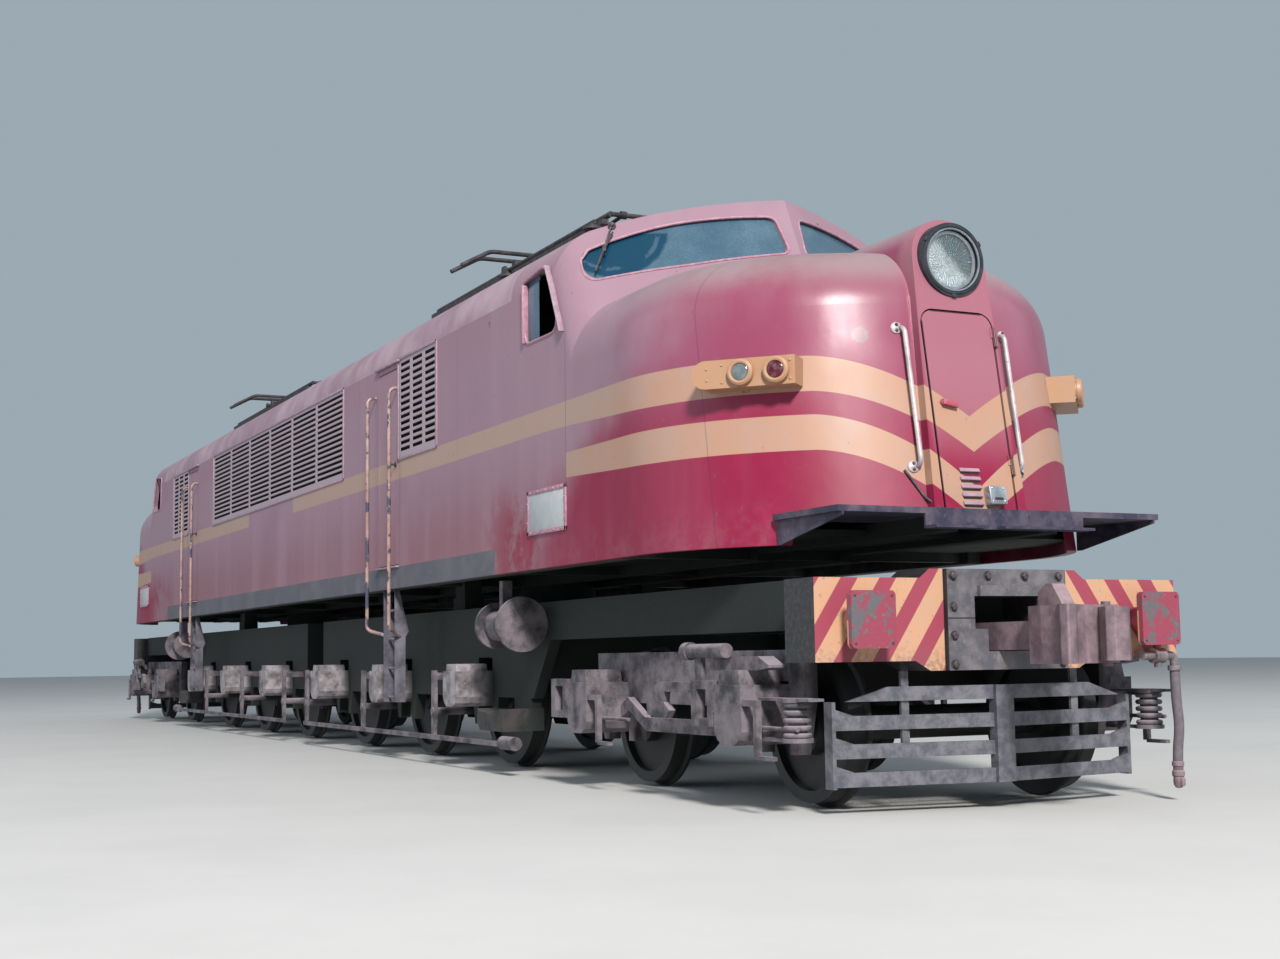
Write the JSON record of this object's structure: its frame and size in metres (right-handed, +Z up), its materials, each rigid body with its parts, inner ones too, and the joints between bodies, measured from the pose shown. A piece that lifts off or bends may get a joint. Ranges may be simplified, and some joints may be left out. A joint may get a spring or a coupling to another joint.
{
  "type": "electric locomotive",
  "caption": "Double-cab streamlined electric locomotive with swivelling trucks, guide trucks, folding pantographs, opening doors and knuckle couplers.",
  "frame": {"origin": "on the floor under the middle of the vehicle, where the wheel flanges stand", "axes": "+X towards the front end, +Z up; the seen side is -Y"},
  "size_m": [23.31, 3.2526, 4.573],
  "materials": {
    "maroon_paint": "faded satin",
    "skirt_grey": "matt",
    "roof_paint": "faded matt",
    "dark_gear": "dirty matt",
    "grey_casting": "rusty matt",
    "rusty_coupler": "rusty",
    "wheel_steel": "worn",
    "beam_cream": "chipped",
    "rail_metal": "worn",
    "window_glass": "dusty",
    "lamp_glass": "clear",
    "lamp_rim": "worn",
    "marker_cream": "satin",
    "cab_green": "matt",
    "panto_steel": "dirty",
    "hose_rubber": "dusty"
  },
  "bodies": {
    "carbody": {"nose_shells": "maroon_paint", "side_walls": "maroon_paint", "roof": "roof_paint", "underframe": "dark_gear", "sill_panels": "skirt_grey", "right_louvres": "maroon_paint", "left_louvres": "maroon_paint", "foot_plates": "grey_casting", "cab_glass": "window_glass", "headlights": "lamp_rim", "headlight_glass": "lamp_glass", "marker_lamps": "marker_cream", "handrails": "rail_metal", "ladders": "dark_gear", "cab_rooms": "cab_green", "cab_fittings": "cab_green", "pantograph_bases": "panto_steel", "roof_gear": "panto_steel", "machine_block": "skirt_grey"},
    "front_truck": {"front_truck_frame": "dark_gear", "front_spring_gear": "dark_gear", "front_end_beam": "beam_cream", "front_brake_gear": "dark_gear", "front_brake_hose": "hose_rubber"},
    "front_guide_truck": {"front_guide_truck": "dark_gear"},
    "front_guide_wheels_1": {"front_guide_wheels_1": "wheel_steel"},
    "front_guide_wheels_2": {"front_guide_wheels_2": "wheel_steel"},
    "front_driving_wheels_1": {"front_driving_wheels_1": "wheel_steel"},
    "front_driving_wheels_2": {"front_driving_wheels_2": "wheel_steel"},
    "front_driving_wheels_3": {"front_driving_wheels_3": "wheel_steel"},
    "front_coupler": {"front_coupler": "rusty_coupler"},
    "rear_truck": {"rear_truck_frame": "dark_gear", "rear_spring_gear": "dark_gear", "rear_end_beam": "beam_cream", "rear_brake_gear": "dark_gear", "rear_brake_hose": "hose_rubber"},
    "rear_guide_truck": {"rear_guide_truck": "dark_gear"},
    "rear_guide_wheels_1": {"rear_guide_wheels_1": "wheel_steel"},
    "rear_guide_wheels_2": {"rear_guide_wheels_2": "wheel_steel"},
    "rear_driving_wheels_1": {"rear_driving_wheels_1": "wheel_steel"},
    "rear_driving_wheels_2": {"rear_driving_wheels_2": "wheel_steel"},
    "rear_driving_wheels_3": {"rear_driving_wheels_3": "wheel_steel"},
    "rear_coupler": {"rear_coupler": "rusty_coupler"},
    "right_front_door": {"right_front_door": "maroon_paint"},
    "right_rear_door": {"right_rear_door": "maroon_paint"},
    "left_rear_door": {"left_rear_door": "maroon_paint"},
    "left_front_door": {"left_front_door": "maroon_paint"},
    "front_nose_door": {"front_nose_door": "maroon_paint"},
    "rear_nose_door": {"rear_nose_door": "maroon_paint"},
    "front_lower_arm_a": {"front_lower_arm_a": "panto_steel"},
    "front_lower_arm_b": {"front_lower_arm_b": "panto_steel"},
    "front_upper_arm_a": {"front_upper_arm_a": "panto_steel"},
    "front_upper_arm_b": {"front_upper_arm_b": "panto_steel"},
    "front_panto_head": {"front_panto_head": "panto_steel"},
    "rear_lower_arm_a": {"rear_lower_arm_a": "panto_steel"},
    "rear_lower_arm_b": {"rear_lower_arm_b": "panto_steel"},
    "rear_upper_arm_a": {"rear_upper_arm_a": "panto_steel"},
    "rear_upper_arm_b": {"rear_upper_arm_b": "panto_steel"},
    "rear_panto_head": {"rear_panto_head": "panto_steel"}
  },
  "joints": [
    {"name": "front_truck_swivel", "type": "hinge", "parent": "carbody", "child": "front_truck", "pos_m": [4.26, 0, 1.328], "axis": [0, 0, 1], "range_deg": [-2, 2]},
    {"name": "front_guide_swivel", "type": "hinge", "parent": "front_truck", "child": "front_guide_truck", "pos_m": [8.967, 0, 1.038], "axis": [0, 0, 1], "range_deg": [-3, 3]},
    {"name": "front_guide_wheels_1_roll", "type": "hinge", "parent": "front_guide_truck", "child": "front_guide_wheels_1", "pos_m": [10.034, 0, 0.485], "axis": [0, 1, 0], "continuous": true},
    {"name": "front_guide_wheels_2_roll", "type": "hinge", "parent": "front_guide_truck", "child": "front_guide_wheels_2", "pos_m": [7.9, 0, 0.485], "axis": [0, 1, 0], "continuous": true},
    {"name": "front_driving_wheels_1_roll", "type": "hinge", "parent": "front_truck", "child": "front_driving_wheels_1", "pos_m": [5.309, 0, 0.612], "axis": [0, 1, 0], "continuous": true},
    {"name": "front_driving_wheels_2_roll", "type": "hinge", "parent": "front_truck", "child": "front_driving_wheels_2", "pos_m": [3.226, 0, 0.612], "axis": [0, 1, 0], "continuous": true},
    {"name": "front_driving_wheels_3_roll", "type": "hinge", "parent": "front_truck", "child": "front_driving_wheels_3", "pos_m": [1.143, 0, 0.612], "axis": [0, 1, 0], "continuous": true},
    {"name": "front_coupler_swing", "type": "hinge", "parent": "front_truck", "child": "front_coupler", "pos_m": [10.39, 0, 0.988], "axis": [0, 0, 1], "range_deg": [-8, 8]},
    {"name": "rear_truck_swivel", "type": "hinge", "parent": "carbody", "child": "rear_truck", "pos_m": [-4.26, 0, 1.328], "axis": [0, 0, 1], "range_deg": [-2, 2]},
    {"name": "rear_guide_swivel", "type": "hinge", "parent": "rear_truck", "child": "rear_guide_truck", "pos_m": [-8.967, 0, 1.038], "axis": [0, 0, 1], "range_deg": [-3, 3]},
    {"name": "rear_guide_wheels_1_roll", "type": "hinge", "parent": "rear_guide_truck", "child": "rear_guide_wheels_1", "pos_m": [-10.034, 0, 0.485], "axis": [0, 1, 0], "continuous": true},
    {"name": "rear_guide_wheels_2_roll", "type": "hinge", "parent": "rear_guide_truck", "child": "rear_guide_wheels_2", "pos_m": [-7.9, 0, 0.485], "axis": [0, 1, 0], "continuous": true},
    {"name": "rear_driving_wheels_1_roll", "type": "hinge", "parent": "rear_truck", "child": "rear_driving_wheels_1", "pos_m": [-5.309, 0, 0.612], "axis": [0, 1, 0], "continuous": true},
    {"name": "rear_driving_wheels_2_roll", "type": "hinge", "parent": "rear_truck", "child": "rear_driving_wheels_2", "pos_m": [-3.226, 0, 0.612], "axis": [0, 1, 0], "continuous": true},
    {"name": "rear_driving_wheels_3_roll", "type": "hinge", "parent": "rear_truck", "child": "rear_driving_wheels_3", "pos_m": [-1.143, 0, 0.612], "axis": [0, 1, 0], "continuous": true},
    {"name": "rear_coupler_swing", "type": "hinge", "parent": "rear_truck", "child": "rear_coupler", "pos_m": [-10.39, 0, 0.988], "axis": [0, 0, 1], "range_deg": [-8, 8]},
    {"name": "right_front_door_hinge", "type": "hinge", "parent": "carbody", "child": "right_front_door", "pos_m": [3.655, -1.453, 2.6], "axis": [0, 0, 1], "range_deg": [0, 90]},
    {"name": "right_rear_door_hinge", "type": "hinge", "parent": "carbody", "child": "right_rear_door", "pos_m": [-5.065, -1.453, 2.6], "axis": [0, 0, 1], "range_deg": [0, 90]},
    {"name": "left_rear_door_hinge", "type": "hinge", "parent": "carbody", "child": "left_rear_door", "pos_m": [-3.655, 1.453, 2.6], "axis": [0, 0, 1], "range_deg": [0, 90]},
    {"name": "left_front_door_hinge", "type": "hinge", "parent": "carbody", "child": "left_front_door", "pos_m": [5.065, 1.453, 2.6], "axis": [0, 0, 1], "range_deg": [0, 90]},
    {"name": "front_nose_door_hinge", "type": "hinge", "parent": "carbody", "child": "front_nose_door", "pos_m": [10.62985, 0.265, 1.53987], "axis": [-0.1561, 0, 0.9877], "range_deg": [0, 90]},
    {"name": "rear_nose_door_hinge", "type": "hinge", "parent": "carbody", "child": "rear_nose_door", "pos_m": [-10.62985, -0.265, 1.53987], "axis": [0.1561, 0, 0.9877], "range_deg": [0, 90]},
    {"name": "front_pantograph", "type": "hinge", "parent": "carbody", "child": "front_lower_arm_a", "pos_m": [4.37, 0, 4.453], "axis": [0, 1, 0], "range_deg": [0, 40]},
    {"name": "front_lower_arm_b_turn", "type": "hinge", "parent": "carbody", "child": "front_lower_arm_b", "pos_m": [4.63, 0, 4.453], "axis": [0, 1, 0], "range_deg": [-40, 0]},
    {"name": "front_upper_arm_a_turn", "type": "hinge", "parent": "front_lower_arm_a", "child": "front_upper_arm_a", "pos_m": [2.42, 0, 4.453], "axis": [0, 1, 0], "range_deg": [-80, 0]},
    {"name": "front_upper_arm_b_turn", "type": "hinge", "parent": "front_lower_arm_b", "child": "front_upper_arm_b", "pos_m": [6.58, 0, 4.453], "axis": [0, 1, 0], "range_deg": [0, 80]},
    {"name": "front_head_turn", "type": "hinge", "parent": "front_upper_arm_a", "child": "front_panto_head", "pos_m": [4.37, 0, 4.453], "axis": [0, 1, 0], "range_deg": [0, 40]},
    {"name": "rear_pantograph", "type": "hinge", "parent": "carbody", "child": "rear_lower_arm_a", "pos_m": [-4.37, 0, 4.453], "axis": [0, -1, 0], "range_deg": [0, 40]},
    {"name": "rear_lower_arm_b_turn", "type": "hinge", "parent": "carbody", "child": "rear_lower_arm_b", "pos_m": [-4.63, 0, 4.453], "axis": [0, -1, 0], "range_deg": [-40, 0]},
    {"name": "rear_upper_arm_a_turn", "type": "hinge", "parent": "rear_lower_arm_a", "child": "rear_upper_arm_a", "pos_m": [-2.42, 0, 4.453], "axis": [0, -1, 0], "range_deg": [-80, 0]},
    {"name": "rear_upper_arm_b_turn", "type": "hinge", "parent": "rear_lower_arm_b", "child": "rear_upper_arm_b", "pos_m": [-6.58, 0, 4.453], "axis": [0, -1, 0], "range_deg": [0, 80]},
    {"name": "rear_head_turn", "type": "hinge", "parent": "rear_upper_arm_a", "child": "rear_panto_head", "pos_m": [-4.37, 0, 4.453], "axis": [0, -1, 0], "range_deg": [0, 40]}
  ],
  "couplings": [
    {"joint": "rear_truck_swivel", "follows": "front_truck_swivel", "ratio": -1},
    {"joint": "front_lower_arm_b_turn", "follows": "front_pantograph", "ratio": -1},
    {"joint": "front_upper_arm_a_turn", "follows": "front_pantograph", "ratio": -2},
    {"joint": "front_upper_arm_b_turn", "follows": "front_pantograph", "ratio": 2},
    {"joint": "front_head_turn", "follows": "front_pantograph", "ratio": 1},
    {"joint": "rear_lower_arm_b_turn", "follows": "rear_pantograph", "ratio": -1},
    {"joint": "rear_upper_arm_a_turn", "follows": "rear_pantograph", "ratio": -2},
    {"joint": "rear_upper_arm_b_turn", "follows": "rear_pantograph", "ratio": 2},
    {"joint": "rear_head_turn", "follows": "rear_pantograph", "ratio": 1}
  ]
}
